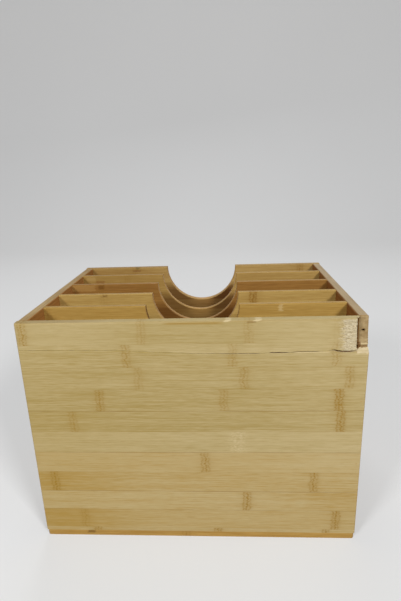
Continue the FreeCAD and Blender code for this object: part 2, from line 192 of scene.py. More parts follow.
# Glue lines: half their width, how they come and go along the laths, their colour, and the darkest they get
GLUE_RANGE = (0.65, 0.1)
GLUE_LENGTH = 45
GLUE_UNEVEN = (0.35, 0.65, 0.35, 1.0)
GLUE_COLOUR = rgb(122, 92, 46)
MOST_GLUE = 0.8

# The grain: the length and width of each kind of streak, and how much it counts
BROAD_STREAKS = (170, 6)
FINE_STREAKS = (60, 1.25)
SHORT_STREAKS = (14, 1.0)
HAIR_STREAKS = (16, 0.55)
BROAD, FINE, SHORT, HAIR = 0.45, 0.7, 0.6, 0.4
MIDDLE_GRAIN = (BROAD + FINE + SHORT + HAIR) / 2
VESSEL_STREAKS = (12, 0.6)
VESSEL_RANGE = (0.6, 0.74, 0.0, 0.3)
VESSEL_COLOUR = rgb(148, 122, 64)

# Gloss, and relief on planed, torn and glued faces
GLOSS = 0.09
ROUGHNESS_RANGE = (0.3, 0.7, 0.42, 0.52)
RELIEF_HEIGHT = 0.15
PLANED_BUMP = 0.25
TORN_BUMP = 0.6
GLUED_BUMP = 0.5

# End grain: dots of vessels on a darker ground
END_RANGE = (0.45, 0.9, 0.0, 0.9)
END_DOT_SCALE = 1.25
END_DOT_RANGE = (0.15, 0.5, 1.0, 0.0)
END_GROUND = (rgb(174, 138, 82), rgb(146, 108, 56))
END_DOT_COLOUR = rgb(120, 82, 38)

# Torn fibres: their colours, and the pits between them
TORN_COLOURS = (rgb(212, 201, 172), rgb(191, 178, 146))
TORN_RANGE = (0.35, 0.65)
PIT_STREAKS = (1.7, 0.9)
PIT_RANGE = (0.5, 0.68, 0.0, 0.8)
PIT_COLOUR = rgb(150, 130, 98)

# How far apart two seeds set the noise, and the front board's colours, pale, dark and of its node marks
SEED_SHIFT = 17.3
FRONT_LIGHT = rgb(194, 177, 133)
FRONT_DARK = rgb(156, 134, 70)
FRONT_MARK = rgb(150, 115, 40)


class Bamboo(Tree):
    """Bamboo whose fibres run along one axis and whose laths lie side by side along another."""

    def __init__(self, name, grain, across, seed, light=FRONT_LIGHT, dark=FRONT_DARK):
        super().__init__(bpy.data.materials.new(name))
        self.light = light
        self.dark = dark
        parts = self.add("SeparateXYZ")
        self.put(parts.inputs[0], self.add("TexCoord").outputs["Object"])
        self.place = [self.times(socket, 1 / MM) for socket in parts.outputs]
        self.along = self.place[grain]
        self.across = self.place[across]
        self.deep = self.place[X + Y + Z - grain - across]
        normal = self.add("SeparateXYZ")
        self.put(normal.inputs[0], self.add("NewGeometry").outputs["Normal"])
        self.facing = [self.size_of(socket) for socket in normal.outputs]
        self.end_facing = self.facing[grain]
        self.mark_colour = FRONT_MARK
        self.stains = []
        self.marks = 0.0
        self.glue = 0.0
        self.tone = 0.5
        self.contrast = 1.0
        self.fresh = None
        self.shift = SEED_SHIFT * seed

    def streaks(self, length, width, detail=2.0):
        """Noise drawn out along the fibres, with features of the given length and width."""
        return self.noise(self.point(self.plus(self.times(self.along, 1 / length), self.shift),
                                     self.times(self.across, 1 / width),
                                     self.times(self.deep, 1 / width)), detail)

    def across_noise(self, size, turn):
        """Noise that changes only across the fibres."""
        return self.noise(self.point(self.times(self.across, 1 / size), turn, 0.0))

    def drop(self):
        """How far below the shelf's top edge the laths are looked at."""
        return self.minus(TOP, self.across)

    def patch(self, along, drop):
        """1 inside a patch, given by its band along the fibres and its band below the top edge."""
        return self.times(self.near(self.along, *along), self.near(self.drop(), *drop))

    def add_marks(self, distance, strength, variation=0.0, dots=0.0):
        """A node mark, distance away along the fibres: a warm band crossed by broken wavy lines."""
        turn = self.shift + variation
        bend_size, bend = MARK_BEND
        fray_size, fray_depth, fray = MARK_FRAY
        wobble_size, wobble = MARK_WOBBLE
        bent = self.sway(distance, self.across_noise(bend_size, turn + 40), bend)
        ragged = self.noise(self.point(self.times(self.across, 1 / fray_size), turn,
                                       self.times(self.deep, 1 / fray_depth)))
        edge = self.size_of(self.sway(bent, ragged, fray))
        dashes = self.streaks(*MARK_DASHES, detail=1.0)
        band = self.times(self.step(edge, *MARK_BAND_RANGE), self.step(dashes, *MARK_BAND_DASHES))
        mark = self.plus(band, self.step(self.size_of(distance), *MARK_HALO))
        for offset, weight in MARK_LINES:
            swerve = self.sway(bent, self.across_noise(wobble_size, turn + offset), wobble)
            line = self.times(self.near(swerve, offset, *LINE_BAND), self.step(dashes, *LINE_DASHES), weight)
            mark = self.plus(mark, line)
        if dots:
            cells = self.cells(self.point(self.plus(self.times(self.along, 1 / DOT_PITCH), turn),
                                          self.times(self.across, 1 / DOT_PITCH), 0.0))
            spots = self.times(self.step(cells, *DOT_RANGE), self.near(bent, *DOT_BAND))
            mark = self.plus(mark, self.times(spots, dots))
        self.marks = self.plus(self.marks, self.times(mark, strength))

    def add_stain(self, factor, colour, strength=1.0):
        """Lays a colour over the wood, as strong as the factor times the strength."""
        self.stains.append((self.times(factor, strength), colour))

    def add_spot(self, place, height, half_length, half_height, strength, colour):
        """A ragged stain on the faces that show from the front, at a place along X and a height."""
        ragged = self.noise(self.point(self.times(self.place[X], 1 / 2.2), self.shift,
                                       self.times(self.place[Z], 1 / 1.1)))
        bent = self.sway(self.place[X], ragged, 7.0)
        raised = self.sway(self.place[Z], ragged, 2.0)
        inside = self.times(self.near(bent, place, half_length, 2.2),
                            self.near(raised, height, half_height, 1.3))
        self.add_stain(inside, colour, strength)

    def add_glue(self, distance, strength):
        """A glue line, thin and uneven, where the distance across the laths is zero."""
        uneven = self.noise(self.point(self.times(self.along, 1 / GLUE_LENGTH), self.shift, 0.0))
        line = self.times(self.step(self.size_of(distance), *GLUE_RANGE), self.step(uneven, *GLUE_UNEVEN))
        self.glue = self.plus(self.glue, self.times(line, strength))

    def torn_colour(self, short, hair):
        """Torn fibres, paler than the planed face, with dark pits."""
        pits = self.step(self.streaks(*PIT_STREAKS), *PIT_RANGE)
        shade = self.step(self.plus(self.times(short, 0.5), self.times(hair, 0.5)), *TORN_RANGE)
        return self.mix(pits, self.mix(shade, *TORN_COLOURS), PIT_COLOUR)

    def end_colour(self):
        """End grain: close dots of vessels on a darker ground."""
        cells = self.cells(self.point(0.0, self.across, self.deep), END_DOT_SCALE)
        blotches = self.noise(self.point(self.times(self.along, 0.1), self.across, self.deep))
        ground = self.mix(blotches, *END_GROUND)
        return self.mix(self.times(self.step(cells, *END_DOT_RANGE), 0.4), ground, END_DOT_COLOUR)

    def finish(self, bump=PLANED_BUMP):
        """Puts the colour, gloss and relief together."""
        broad = self.streaks(*BROAD_STREAKS)
        fine = self.streaks(*FINE_STREAKS)
        short = self.streaks(*SHORT_STREAKS)
        hair = self.streaks(*HAIR_STREAKS)
        grain = self.plus(self.plus(self.times(broad, BROAD), self.times(fine, FINE)),
                          self.plus(self.times(short, SHORT), self.times(hair, HAIR)))
        grain = self.plus(self.times(self.minus(grain, MIDDLE_GRAIN), self.contrast), self.tone)
        colour = self.mix(self.step(grain, 0.0, 1.0), self.light, self.dark)
        vessels = self.step(self.streaks(*VESSEL_STREAKS, detail=1.0), *VESSEL_RANGE)
        colour = self.mix(vessels, colour, VESSEL_COLOUR)
        colour = self.mix(self.math("MINIMUM", self.marks, MOST_MARK), colour, self.mark_colour)
        colour = self.mix(self.math("MINIMUM", self.glue, MOST_GLUE), colour, GLUE_COLOUR)
        if self.fresh is not None:
            colour = self.mix(self.fresh, colour, self.torn_colour(short, hair))
        colour = self.mix(self.step(self.end_facing, *END_RANGE), colour, self.end_colour())
        for factor, stain in self.stains:
            colour = self.mix(factor, colour, stain)

        relief = self.add("Bump")
        height = self.minus(self.plus(hair, self.times(fine, 0.6)), self.plus(self.glue, vessels))
        self.feed(relief, {"Strength": bump, "Distance": RELIEF_HEIGHT * MM, "Height": height})
        self.feed(self.surface, {
            "Base Color": colour,
            "Roughness": self.step(fine, *ROUGHNESS_RANGE),
            "Specular IOR Level": GLOSS,
            "Normal": relief.outputs[0],
        })
        return self.owner


def dress(name, material):
    """Gives a CAD node its material."""
    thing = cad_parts[name]
    thing.data.materials.clear()
    thing.data.materials.append(material)


# The front board's laths: tone from 0, pale, to 1, dark, the grain's contrast, node marks with a place along
# the board, a strength and how much they are dotted, and the strength of the glue line along the upper edge
front_laths = {
    "front_lath_01": (0.33, 0.6,
                      ((-158.3, 0.9, 0.6), (-45, 0.5, 0.0), (55, 0.45, 0.8), (136, 0.2, 0.0)), 0.0),
    "front_lath_02_upper": (0.38, 0.8, ((-60.5, 0.7, 0.0), (40.5, 0.5, 0.6), (136, 0.4, 0.5)), 0.12),
    "front_lath_02_lower": (0.47, 0.9, ((-60.5, 0.75, 0.0), (39.5, 0.6, 0.5), (136, 0.6, 0.0)), 0.0),
    "front_lath_03": (0.48, 0.85, ((-50.5, 0.5, 0.0), (50.75, 0.65, 0.3), (149, 0.7, 0.0)), 0.22),
    "front_lath_04": (0.52, 0.9, ((-90.5, 0.95, 0.3), (31, 0.65, 0.0), (140.5, 1.35, 0.4)), 0.18),
    "front_lath_05": (0.54, 0.85, ((-119.5, 0.7, 0.0), (143, 1.2, 0.3)), 0.95),
    "front_lath_06": (0.36, 0.8, (), 0.2),
    "front_lath_07": (0.42, 0.65, ((11, 0.95, 0.3),), 0.9),
    "front_lath_08": (0.46, 0.9, ((-147, 1.15, 0.5), (120, 0.95, 0.4)), 0.25),
    "front_lath_09": (0.38, 1.0, ((53, 1.1, 0.3),), 0.9),
    "front_lath_10": (0.46, 0.75, ((-120.5, 0.55, 0.0), (144, 1.15, 0.0)), 0.5),
    "front_lath_11": (0.42, 0.9, ((-107.5, 1.2, 0.0), (22.5, 1.2, 0.0), (135, 1.1, 0.0)), 0.2),
}

# How a lath's tone changes along it: where the change starts and ends, and how much darker it is there. The
# top lath's is the same on both sides of the middle
USUAL_CHANGE = (30.0, 140.0, -0.1)
tone_changes = {
    "front_lath_01": (120.0, 30.0, 0.16),
    "front_lath_08": (-40.0, -150.0, 0.24),
    "front_lath_09": (60.0, 140.0, 0.16),
    "front_lath_10": (-40.0, -150.0, 0.24),
}

# The left part of every lath is yellower, in the lower laths more, and the lowest laths have a warmer grain
YELLOW_RANGE = (20.0, -150.0)
YELLOW = rgb(172, 142, 58)
UPPER_YELLOW = 0.05
LOWER_YELLOW = 0.12
LOWER_FROM = 70.0
WARM_FROM = 130.0
WARM_DARK = rgb(170, 138, 69)

# The crack from left to right: place along the board, how far its upper lip lies below the top edge, and how
# far it gapes
crack = ((-165, 27.0, 0.13), (-146, 27.2, 0.13), (-127, 27.4, 0.12), (-108, 27.7, 0.08), (-65, 28.2, 0.08),
         (-50, 29.4, 0.04), (-35, 30.1, 0.04), (-24, 30.7, 0.1), (3, 32.1, 0.14), (28, 32.3, 0.2),
         (34, 32.5, 0.5), (64, 32.6, 0.5), (67, 32.6, 0.12), (73, 32.2, 0.12), (77, 31.6, 0.95),
         (88, 31.7, 0.95), (93, 31.9, 0.3), (102, 31.2, 0.2), (117, 31.3, 0.18), (127, 31.4, 0.06),
         (130, 29.9, 0.4), (133, 29.6, 1.0), (135.6, 30.2, 1.4), (139.2, 30.8, 1.5), (142.9, 31.2, 1.3),
         (147.4, 31.3, 1.1), (151, 30.8, 1.0), (154, 29.9, 1.1))
# Painted shade along the crack: its line's offset below the lip, its band, and where along it is darker
CRACK_MIDDLE = 0.1
CRACK_BAND = (0.25, 0.4)
CRACK_SHADE_PART = (107.0, 10.0, 4.0)

# Chips along the top front arris: where each one's middle is and half its length, how deep they are, and how
# uneven
CHIPS = ((35.5, 5.0), (63.0, 5.5))
CHIP_DEPTH = 0.45
CHIP_UNEVEN = 0.4

# Patches on the front: the band along the board, and the band below the top edge
GOLDEN_STREAK = ((4.0, 20.0, 12.0), (2.2, 0.4, 1.0))
CHIP_SHADE = ((57.5, 3.0, 2.5), (1.7, 0.25, 0.7))
# A painted highlight on the lip under the crack
LIP_HIGHLIGHT = ((112.0, 14.0, 5.0), (32.0, 0.4, 0.35))
KNOTS = (44.0, 2.0, 11.0)

# How steeply faces look up: a flat top, the beginning and the end of the painted shade on the top lath's
# arris, all that is no top, and what looks upward
FLAT_TOP = (0.8, 0.95)
ARRIS_BEGINS = (0.15, 0.45)
ARRIS_ENDS = (0.97, 0.85)
NOT_TOP = (0.9, 0.5)
UPWARD = (0.3, 0.7, 0.0, 0.9)

# From where the skin of the strip is torn, where the painted shade inside the crack ends, and how deep inside
# it starts
SKIN_RANGE = (136.0, 143.0, 0.0, 0.92)
CRACK_SHADE_END = (153.4, 152.4)
CRACK_SHADE_DEPTH = (0.05, 0.3)


def top_lath_looks(wood):
    """The top lath's dull left part, golden streak and chips, with painted shade on its arris and beside a
    chip.
    """
    dull = wood.times(wood.step(wood.along, -40.0, -120.0, 0.0, 0.45), wood.step(wood.facing[Z], *FLAT_TOP))
    wood.add_stain(dull, rgb(140, 114, 66))
    # Painted shade over the arris's highlight, stronger towards the right
    arris = wood.times(wood.step(wood.facing[Z], *ARRIS_BEGINS), wood.step(wood.facing[Z], *ARRIS_ENDS))
    wood.add_stain(wood.times(arris, wood.step(wood.along, -100.0, 0.0, 0.25, 0.55)), rgb(156, 132, 88))
    wood.add_stain(wood.patch(*GOLDEN_STREAK), rgb(158, 126, 58), 0.7)
    for middle, half in CHIPS:
        along = wood.times(wood.minus(wood.along, middle), 1 / half)
        drop = wood.plus(wood.minus(TOP - 0.5, wood.across), wood.times(along, 0.5))
        reach = wood.plus(wood.times(along, along), wood.times(drop, drop))
        # The chips are pale with fresh wood, and partly with a painted highlight
        wood.add_stain(wood.step(reach, 0.9, 0.1), rgb(214, 198, 158), 0.6)
    # A painted shadow beside a chip
    wood.add_stain(wood.patch(*CHIP_SHADE), rgb(122, 92, 44), 0.6)


def torn_skin(wood):
    """The torn skin at the strip's right end, with a ragged border."""
    ragged = wood.noise(wood.point(wood.times(wood.across, 1 / 1.6), wood.times(wood.along, 1 / 6), 0.0))
    reach = wood.sway(wood.along, ragged, 14.0)
    wood.fresh = wood.times(wood.step(reach, *SKIN_RANGE), wood.step(wood.facing[Z], *NOT_TOP))


def lip_looks(wood):
    """A painted highlight on the lip under the crack, and painted shade on the faces inside the crack."""
    wood.add_stain(wood.patch(*LIP_HIGHLIGHT), rgb(222, 206, 164), 0.65)
    highlight_part = wood.near(wood.along, *LIP_HIGHLIGHT[0])
    inside = wood.minus(wood.minus(wood.place[Y], FRONT), wood.times(highlight_part, 0.5))
    # Painted shade on the upward faces inside the crack, stopping short of the broken end
    crack_shade = wood.times(wood.step(inside, *CRACK_SHADE_DEPTH), wood.step(wood.along, *CRACK_SHADE_END))
    wood.add_stain(wood.times(crack_shade, wood.step(wood.facing[Z], *UPWARD)), rgb(84, 50, 10))


def crack_looks(wood):
    """Painted shade along the crack: a golden-brown line on its lips, darker in one part."""
    drop = crack[0][1]
    for near, far in zip(crack, crack[1:]):
        drop = wood.plus(drop, wood.step(wood.along, near[0], far[0], 0.0, far[1] - near[1]))
    line = wood.near(wood.drop(), wood.plus(drop, CRACK_MIDDLE), *CRACK_BAND)
    wood.add_stain(line, rgb(176, 152, 56), 0.35)
    wood.add_stain(wood.times(line, wood.near(wood.along, *CRACK_SHADE_PART)), rgb(104, 76, 22), 0.7)


def knot_looks(wood):
    """Pale broken streaks, close together."""
    knots = wood.times(wood.near(wood.along, *KNOTS), wood.step(wood.streaks(3.0, 1.1), 0.4, 0.62))
    wood.add_stain(knots, rgb(212, 196, 156), 0.45)


own_looks = {
    "front_lath_01": (top_lath_looks, torn_skin),
    "front_lath_02_upper": (torn_skin, crack_looks),
    "front_lath_02_lower": (lip_looks, crack_looks),
    "front_lath_06": (knot_looks,),
}


def front_bamboo(seed, name):
    """One lath of the front board."""
    tone, contrast, marks, glue = front_laths[name]
    upper_edge = node_box(name)[1].z
    wood = Bamboo("bamboo_" + name, X, Z, seed)
    wood.contrast = contrast
    yellow = UPPER_YELLOW if TOP - upper_edge < LOWER_FROM else LOWER_YELLOW
    wood.add_stain(wood.step(wood.along, *YELLOW_RANGE), YELLOW, yellow)
    if TOP - upper_edge > WARM_FROM:
        wood.dark = WARM_DARK
    start, end, change = tone_changes.get(name, USUAL_CHANGE)
    measure = wood.size_of(wood.along) if name == "front_lath_01" else wood.along
    wood.tone = wood.step(measure, start, end, tone, tone + change)
    for add_looks in own_looks.get(name, ()):
        add_looks(wood)
    for place, strength, dots in marks:
        wood.add_marks(wood.minus(wood.along, place), strength, place * MARK_VARIATION, dots)
    if glue:
        wood.add_glue(wood.minus(wood.across, upper_edge), glue)
    return wood.finish()


for seed, name in enumerate(front_laths):
    dress(name, front_bamboo(seed, name))


# The other boards: the width of their laths, how their tones and marks differ, and their glue lines
PITCH = 23.5
PALEST = 0.38
TONE_SPREAD = 0.24
TONE_RANGE = (20.0, -120.0)
LATH_TURN = 7.7
MARK_TURN = 5.3
MARK_SPACING = 210.0
MARK_STRENGTH = 0.6
BOARD_MARK = rgb(134, 96, 36)
BOARD_GLUE = 0.4

# Seeds of the boards' streaks. The laths of the front board have 0 to 11
REAR_SEED = 21
BASE_SEED = 22
DIVIDER_SEED = 31
SIDE_SEED = 40
TORN_SEED = 71
GLUED_SEED = 72

# The cut-outs' radius, where a side board's inner face and a board's top edge begin, and the boards' stains,
# painted shade, painted sheen and painted reflection
CUTOUT_RADIUS = 48.0
INNER_RANGE = (HALF_WIDTH - 8.7, HALF_WIDTH - 9.3)
EDGE_RANGE = (TOP - 0.5, TOP - 0.2)
SAWN = rgb(200, 160, 106)
SCORCH_AND_SHADE_COLOUR = rgb(104, 68, 18)
PAINTED_SHADE_BROWN = rgb(104, 58, 24)
PAINTED_SHEEN = rgb(220, 192, 138)
PAINTED_GREY_REFLECTION = rgb(190, 180, 162)


def shaded_laths(wood, start, strength):
    """Painted shade on a board's broad faces from the second lath down, more to the right, but not on the
    rear face.
    """
    second = start - PITCH
    third = second - PITCH
    wood.add_stain(wood.times(wood.step(wood.across, second + 3.0, second - 13.0),
                              strength,
                              wood.step(wood.place[X], -40.0, 35.0, 0.7, 1.0),
                              wood.step(wood.across, third - 3.0, third + 1.0, 0.6, 1.0),
                              wood.step(wood.place[Y], REAR - 1.0, REAR - 2.0),
                              wood.step(wood.facing[Y], 0.7, 0.9)), PAINTED_SHADE_BROWN)


def sawn_cutout(wood, scorch_and_shade):
    """The cut-out's edge, pale where sawn, its flanks scorched and on the right also darkened as painted
    shade.
    """
    cut = wood.times(wood.step(wood.facing[Y], 0.8, 0.5), wood.step(wood.place[Z], TOP - 0.6, TOP - 2.0),
                     wood.near(wood.place[X], 0.0, CUTOUT_RADIUS, 0.5))
    wood.add_stain(cut, SAWN, 0.7)
    # Scorch on the flanks, and on the right flanks painted shade where they face away from the light
    for side, strength in zip((-1, 1), scorch_and_shade):
        flank = wood.near(wood.place[X], side * CUTOUT_RADIUS / 2, CUTOUT_RADIUS / 2, 1.5)
        wood.add_stain(wood.times(cut, flank), SCORCH_AND_SHADE_COLOUR, strength)


def top_edge(wood):
    """1 on the flat top edge of a board."""
    return wood.times(wood.step(wood.place[Z], *EDGE_RANGE), wood.step(wood.facing[Z], *FLAT_TOP))


def board_bamboo(name, grain, across, seed, start, inner=None, top_marks=(), spots=(), scorch_and_shade=(), second=0.0,
                 left=0.0, pale=0.0, grey=0.0, **colours):
    """A whole board of many laths, counted from start, each with its own tone and its own node marks. The
    inner colours, light and dark, are painted shade on its face inside the shelf, deeper on the right board.
    The top lath's marks are pairs of a place and a strength. Spots are what add_spot takes. Its
    scorch_and_shade says how dark the flanks of its cut-out are, left and right, scorched and on the right
    also painted shade, second how much painted shade browns its broad faces from the second lath down, left
    how much darker the board's left end is than its right one, and pale and grey how strong the painted sheen
    and the painted grey reflection on its top edge are."""
    wood = Bamboo(name, grain, across, seed, **colours)
    wood.mark_colour = BOARD_MARK
    # Painted shade on a side board's inner face
    if inner:
        inside = wood.step(wood.size_of(wood.place[X]), *INNER_RANGE)
        wood.light = wood.mix(inside, wood.light, inner[0])
        wood.dark = wood.mix(inside, wood.dark, inner[1])
    laths = wood.times(wood.minus(wood.across, start), 1 / PITCH)
    chance = wood.add("TexWhiteNoise", noise_dimensions="1D")
    wood.put(chance.inputs["W"], wood.plus(wood.math("FLOOR", laths), seed * LATH_TURN))
    draw = chance.outputs["Value"]
    tone = wood.step(wood.along, *TONE_RANGE, PALEST, PALEST + left)
    wood.tone = wood.plus(tone, wood.times(draw, TONE_SPREAD))
    turn = wood.plus(wood.times(wood.along, 1 / MARK_SPACING), wood.times(draw, MARK_TURN))
    distance = wood.times(wood.minus(wood.math("FRACT", turn), 0.5), MARK_SPACING)
    on_top = wood.step(wood.across, start - PITCH - 0.1, start - PITCH + 0.1) if top_marks else 0.0
    wood.add_marks(distance, wood.times(wood.minus(1.0, on_top), MARK_STRENGTH))
    for place, strength in top_marks:
        wood.add_marks(wood.minus(wood.along, place), wood.times(on_top, strength), place * MARK_VARIATION)
    within = wood.minus(wood.math("FRACT", wood.plus(laths, 0.5)), 0.5)
    wood.add_glue(wood.times(within, PITCH), BOARD_GLUE)
    if second:
        shaded_laths(wood, start, second)
    if scorch_and_shade:
        sawn_cutout(wood, scorch_and_shade)
    # A painted sheen on the flat top edge, stronger towards the right, and a painted grey reflection there
    if pale:
        edge = wood.times(top_edge(wood), wood.step(wood.place[X], -70.0, 70.0, 0.35, 1.0))
        wood.add_stain(edge, PAINTED_SHEEN, pale)
    if grey:
        wood.add_stain(top_edge(wood), PAINTED_GREY_REFLECTION, grey)
    for spot in spots:
        wood.add_spot(*spot)
    return wood.finish()


# The boards inside, browner than the front: for each divider, from the front to the rear
dividers = (
    dict(light=rgb(185, 152, 85), dark=rgb(155, 120, 57), pale=0.25, scorch_and_shade=(0.85, 0.7),
         top_marks=((-152, 0.5),),
         spots=((90.0, 241.0, 0.8, 3.0, 0.4, rgb(212, 190, 142)),)),
    dict(light=rgb(185, 156, 94), dark=rgb(155, 122, 62), pale=0.2, scorch_and_shade=(0.2, 0.6),
         top_marks=((-104, 0.3), (64.7, 1.5)),
         spots=((-102.5, 243.6, 2.0, 0.5, 0.5, rgb(98, 62, 22)),)),
    dict(light=rgb(153, 112, 57), dark=rgb(115, 76, 33), pale=0.3, scorch_and_shade=(0.1, 0.3), second=0.5,
         top_marks=((-118, 0.5), (-66, 0.5)),
         spots=((-142.0, 241.0, 14.0, 3.0, 0.4, rgb(176, 138, 80)),
                (-119.0, 242.0, 2.5, 2.0, 0.55, rgb(96, 58, 18)))),
    dict(light=rgb(181, 150, 90), dark=rgb(151, 118, 61), pale=0.3, scorch_and_shade=(0.0, 0.2), second=0.7, left=0.35,
         top_marks=((-96, 0.4),),
         spots=((-133.0, 236.8, 4.5, 1.2, 0.45, rgb(122, 74, 36)),
                (-145.0, 241.0, 5.0, 2.0, 0.3, rgb(190, 160, 104)))),
)
rear = dict(light=rgb(182, 152, 95), dark=rgb(148, 114, 60), pale=0.2, scorch_and_shade=(0.0, 0.0), second=0.85,
            left=0.25,
            top_marks=((-94, 0.4), (138, 0.9)),
            spots=((-92.0, 240.6, 4.5, 0.5, 0.5, rgb(112, 66, 34)),
                   (-91.0, 244.6, 1.5, 0.6, 0.5, rgb(96, 84, 44))))
base = dict(light=rgb(190, 155, 89), dark=rgb(158, 120, 55),
            spots=((-115.5, 4.6, 3.0, 1.0, 0.55, rgb(90, 58, 18)),))
both_sides = dict(light=rgb(190, 165, 120), dark=rgb(156, 128, 82))
# The side boards' inner faces are painted shade, deeper on the right board, which faces away from the light
sides = {
    "left": dict(inner=(rgb(184, 132, 74), rgb(146, 96, 48))),
    "right": dict(inner=(rgb(158, 106, 54), rgb(120, 74, 34)), grey=0.28),
}
dress("rear_board", board_bamboo("bamboo_rear", X, Z, REAR_SEED, TOP, **rear))
dress("base_board", board_bamboo("bamboo_base", X, Y, BASE_SEED, 0.0, **base))
for index, looks in enumerate(dividers):
    name = "divider_%d" % (index + 1)
    dress(name, board_bamboo("bamboo_" + name, X, Z, DIVIDER_SEED + index, TOP, **looks))
for index, side in enumerate(sides):
    looks = both_sides | sides[side]
    dress("side_board_" + side, board_bamboo("bamboo_side_" + side, Y, Z, SIDE_SEED + index, TOP, **looks))


def speckled(name, scale, first, second):
    """A material whose colour wanders between two, and the noise that it follows."""
    made = Tree(bpy.data.materials.new(name))
    speckles = made.noise(made.add("TexCoord").outputs["Object"], scale=scale)
    made.put(made.surface.inputs["Base Color"], made.mix(speckles, first, second))
    return made, speckles


def steel():
    """Drawn steel wire, a little dull."""
    metal, speckles = speckled("brad_steel", 2500.0, rgb(150, 148, 142), rgb(190, 187, 180))
    metal.feed(metal.surface, {"Metallic": 1.0, "Roughness": metal.step(speckles, 0.3, 0.7, 0.3, 0.5)})
    return metal.owner


def filler():
    """Wood filler, close to the bamboo in colour."""
    paste, speckles = speckled("brad_filler", 1800.0, rgb(188, 162, 108), rgb(172, 142, 88))
    paste.feed(paste.surface, {"Roughness": 0.7})
    return paste.owner


wire = steel()
paste = filler()
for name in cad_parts:
    if "brads" in name:
        dress(name, wire)
    if "fillers" in name:
        dress(name, paste)

# The strip above the crack: the heights of its edges, where it ends, its rear and front faces, its arrises,
# and the angle from which an edge shows as sharp
STRIP_BOTTOM = node_box("front_lath_01")[0].z
LATH_BOTTOM = node_box("front_lath_02_lower")[0].z
STRIP_END = node_box("front_lath_01")[1].x
BACK = node_box("front_lath_01")[1].y
FACE = FRONT + 0.03
EASING = 1.5
INNER_CHAMFER = 0.8
SHARP_ANGLE = 40

# The ledge beside the broken end, as distances in from the front face and below the top edge, how far past
# the strip's end it begins, and how much farther on it has its full shape
ledge = ((0, 33.9), (3.5, 31.0), (4.4, 30.5), (5.1, 30.2), (7.5, 30.0), (9.5, 28.0))
LEDGE_GAP = 0.2
LEDGE_SLOPE = 0.5

# The layer left on the side board's end: its ends, its thickness at several distances below the top edge,
# how thin it may get, and the nail hole in it, by its place along the board, its distance below the top edge
# and half its size
REMAINDER_START = 155.6
REMAINDER_TOP = 0.3
REMAINDER_BOTTOM = 31.2
REMAINDER_RIGHT = 163.6
remainder = ((0.3, 0.7), (4, 1.2), (9, 1.8), (17, 2.8), (24.8, 4.0), (25.8, 5.0), (27.0, 5.1), (27.6, 4.3),
             (31.2, 4.4))
THINNEST = 0.1
HOLE = (160.5, 13.3)
HOLE_HALF_WIDTH = 0.95
HOLE_HALF_HEIGHT = 0.7

# The lump of glue at the remainder's foot: how far it stands out, where its middle is, half its width, and
# where it starts below the top edge
LUMP_HEIGHT = 1.6
LUMP_MIDDLE = 0.6
LUMP_HALF = 1.3
LUMP_FROM = 24

# Where the skin of the strip is torn off, as distances below the top edge and places along the board, how
# deep it is torn, how wide the border is, and how thick the layer is that moves back
tear_border = ((0, 142.4), (4, 141.0), (9, 139.4), (16, 138.6), (24, 140.2), (32, 141.5))
SKIN_DEPTH = 0.28
LEAST_DEPTH = 0.03
SKIN_EDGE = 0.5
SKIN_LAYER = 0.8

# The broken end: where it lies at the top, how it leans on the way down and on the way in, how far its fibres
# may pass the solid's end, and how far back and how large the rings are that close it
END_PLACE = 152.2
END_LEAN = 0.03
END_SLANT = 0.05
FIBRE_REACH = 0.3
END_RECESS = 0.35
END_SHARES = (0.93, 0.8, 0.6, 0.4, 0.2)

# The tongue at the top of the end's rear part, which all but meets the remainder: how far in it begins, how
# high it is, over what distance it grows, and the gap that it leaves
TONGUE_DEPTH = 3.5
TONGUE_HEIGHT = 1.2
TONGUE_SLOPE = 1.5
TONGUE_GAP = 0.1

# The torn part of the strip: where it starts, its length and its rings, the place from which torn wood shows
# on the strip, and the height from which it shows on the ledge
TORN_START = 132.0
TORN_LENGTH = 20.5
TORN_RINGS = 34
TORN_WOOD_FROM = 146
LEDGE_WOOD_FROM = 209

# Roughness of the torn surfaces, in layers: how high each is, the length and width of its features, and a
# number that tells it from the others
SKIN_STREAKS = ((0.2, 7, 1.4, 1.7), (0.34, 2.4, 1.3, 5.2))
END_FIBRES = ((0.3, 0.9, 0.7, 2.2), (0.2, 0.5, 0.35, 8.2))
UPPER_LIP = ((0.2, 2.5, 2, 4.4), (0.1, 0.9, 1, 6.1))
LOWER_LIP = ((0.22, 2.5, 2, 1.4), (0.12, 0.9, 1, 3.1))
LEDGE_FIBRES = ((0.55, 6, 0.8, 7.7), (0.3, 2.5, 0.4, 2.9))
REMAINDER_FIBRES = ((0.22, 4, 1.6, 11.3), (0.12, 1.5, 0.8, 12.8))


def along_line(points, place, item=1):
    """A value read off a line of points at a place between them."""
    if place <= points[0][0]:
        return points[0][item]
    for near, far in zip(points, points[1:]):
        if place <= far[0]:
            share = (place - near[0]) / (far[0] - near[0])
            return near[item] + share * (far[item] - near[item])
    return points[-1][item]


def wave(*place):
    """Smooth noise from -1 to 1 at a place, already divided by the size of its features."""
    return noise.noise(Vector(place)) * 1.6


def roughness(along, across, layers):
    """How far a torn surface stands out at a place on it."""
    return sum(height * wave(along / length, across / width, turn) for height, length, width, turn in layers)


def eased(x):
    """How far the front face falls back near the ends of the board, where its arrises are rounded."""
    from_end = HALF_WIDTH - abs(x)
    if from_end >= EASING:
        return 0.0
    return EASING - math.sqrt(max(EASING ** 2 - (EASING - from_end) ** 2, 0.0))


def rounded(ring):
    """A ring whose front falls back near the ends of the board."""
    return [(x, y + eased(x) if y < FRONT + EASING else y, z) for x, y, z in ring]


def fibre_end(z):
    """How much farther than its neighbours one torn fibre reaches, the fibres lying one above another."""
    return 1.5 * wave(z / 0.9, 3.1, 0.5) + 0.7 * wave(z / 0.4, 9.4, 0.5)


